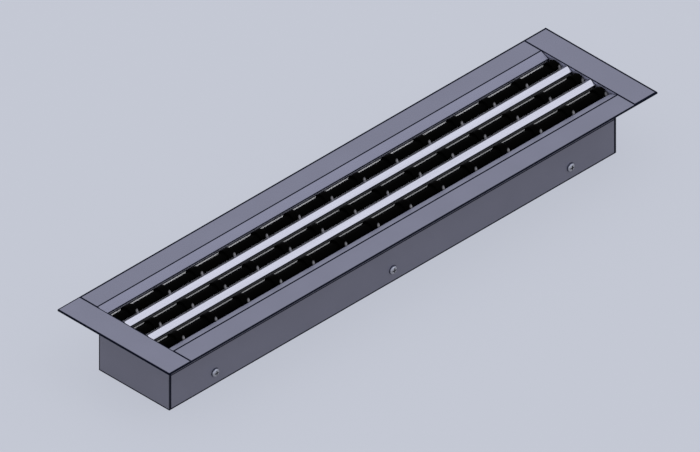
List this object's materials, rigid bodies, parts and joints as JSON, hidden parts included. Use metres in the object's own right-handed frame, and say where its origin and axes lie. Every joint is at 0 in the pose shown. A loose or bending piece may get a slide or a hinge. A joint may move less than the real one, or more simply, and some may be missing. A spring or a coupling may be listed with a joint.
{
  "type": "linear slot diffuser",
  "caption": "Flanged aluminium linear slot diffuser with roof-shaped separators and black eccentric air-pattern rollers that turn on rods above a rectangular neck.",
  "frame": {"origin": "middle of the body in X and Y, on the plane of the neck's open rim", "axes": "+X along the slots, +Y across them, +Z out through the face with the slots"},
  "size_m": [0.601, 0.1376, 0.0645],
  "materials": {
    "frame_aluminium": "satin blue-grey powder coat on extruded aluminium",
    "separator_aluminium": "satin natural anodised extrusion",
    "black_plastic": "satin black moulded plastic",
    "zinc_steel": "bright zinc plated steel",
    "tie_steel": "drawn steel"
  },
  "bodies": {
    "frame": {"end_profile_left": "frame_aluminium", "end_profile_right": "frame_aluminium", "end_screws_left": "zinc_steel", "end_screws_right": "zinc_steel", "rod_nuts_left": "zinc_steel", "rod_nuts_right": "zinc_steel", "roller_rod_1": "zinc_steel", "roller_rod_2": "zinc_steel", "roller_rod_3": "zinc_steel", "separator_1": "separator_aluminium", "separator_2": "separator_aluminium", "side_profile_front": "frame_aluminium", "side_profile_rear": "frame_aluminium", "spacer_tubes_1": "tie_steel", "spacer_tubes_2": "tie_steel", "spacer_tubes_3": "tie_steel", "tie_rod_1": "tie_steel", "tie_rod_2": "tie_steel", "tie_rod_3": "tie_steel", "tie_screws_front": "zinc_steel", "tie_screws_rear": "zinc_steel"},
    "roller_1_1": {"roller_1_1": "black_plastic"},
    "roller_1_2": {"roller_1_2": "black_plastic"},
    "roller_1_3": {"roller_1_3": "black_plastic"},
    "roller_1_4": {"roller_1_4": "black_plastic"},
    "roller_1_5": {"roller_1_5": "black_plastic"},
    "roller_2_1": {"roller_2_1": "black_plastic"},
    "roller_2_2": {"roller_2_2": "black_plastic"},
    "roller_2_3": {"roller_2_3": "black_plastic"},
    "roller_2_4": {"roller_2_4": "black_plastic"},
    "roller_2_5": {"roller_2_5": "black_plastic"},
    "roller_3_1": {"roller_3_1": "black_plastic"},
    "roller_3_2": {"roller_3_2": "black_plastic"},
    "roller_3_3": {"roller_3_3": "black_plastic"},
    "roller_3_4": {"roller_3_4": "black_plastic"},
    "roller_3_5": {"roller_3_5": "black_plastic"}
  },
  "joints": [
    {"name": "roller_1_1_turn", "type": "hinge", "parent": "frame", "child": "roller_1_1", "pos_m": [0, -0.0286, 0.0569], "axis": [1, 0, 0], "range_deg": [-90, 90]},
    {"name": "roller_1_2_turn", "type": "hinge", "parent": "frame", "child": "roller_1_2", "pos_m": [0, -0.0286, 0.0569], "axis": [1, 0, 0], "range_deg": [-90, 90]},
    {"name": "roller_1_3_turn", "type": "hinge", "parent": "frame", "child": "roller_1_3", "pos_m": [0, -0.0286, 0.0569], "axis": [1, 0, 0], "range_deg": [-90, 90]},
    {"name": "roller_1_4_turn", "type": "hinge", "parent": "frame", "child": "roller_1_4", "pos_m": [0, -0.0286, 0.0569], "axis": [1, 0, 0], "range_deg": [-90, 90]},
    {"name": "roller_1_5_turn", "type": "hinge", "parent": "frame", "child": "roller_1_5", "pos_m": [0, -0.0286, 0.0569], "axis": [1, 0, 0], "range_deg": [-90, 90]},
    {"name": "roller_2_1_turn", "type": "hinge", "parent": "frame", "child": "roller_2_1", "pos_m": [0, 0, 0.0569], "axis": [1, 0, 0], "range_deg": [-90, 90]},
    {"name": "roller_2_2_turn", "type": "hinge", "parent": "frame", "child": "roller_2_2", "pos_m": [0, 0, 0.0569], "axis": [1, 0, 0], "range_deg": [-90, 90]},
    {"name": "roller_2_3_turn", "type": "hinge", "parent": "frame", "child": "roller_2_3", "pos_m": [0, 0, 0.0569], "axis": [1, 0, 0], "range_deg": [-90, 90]},
    {"name": "roller_2_4_turn", "type": "hinge", "parent": "frame", "child": "roller_2_4", "pos_m": [0, 0, 0.0569], "axis": [1, 0, 0], "range_deg": [-90, 90]},
    {"name": "roller_2_5_turn", "type": "hinge", "parent": "frame", "child": "roller_2_5", "pos_m": [0, 0, 0.0569], "axis": [1, 0, 0], "range_deg": [-90, 90]},
    {"name": "roller_3_1_turn", "type": "hinge", "parent": "frame", "child": "roller_3_1", "pos_m": [0, 0.0286, 0.0569], "axis": [1, 0, 0], "range_deg": [-90, 90]},
    {"name": "roller_3_2_turn", "type": "hinge", "parent": "frame", "child": "roller_3_2", "pos_m": [0, 0.0286, 0.0569], "axis": [1, 0, 0], "range_deg": [-90, 90]},
    {"name": "roller_3_3_turn", "type": "hinge", "parent": "frame", "child": "roller_3_3", "pos_m": [0, 0.0286, 0.0569], "axis": [1, 0, 0], "range_deg": [-90, 90]},
    {"name": "roller_3_4_turn", "type": "hinge", "parent": "frame", "child": "roller_3_4", "pos_m": [0, 0.0286, 0.0569], "axis": [1, 0, 0], "range_deg": [-90, 90]},
    {"name": "roller_3_5_turn", "type": "hinge", "parent": "frame", "child": "roller_3_5", "pos_m": [0, 0.0286, 0.0569], "axis": [1, 0, 0], "range_deg": [-90, 90]}
  ]
}
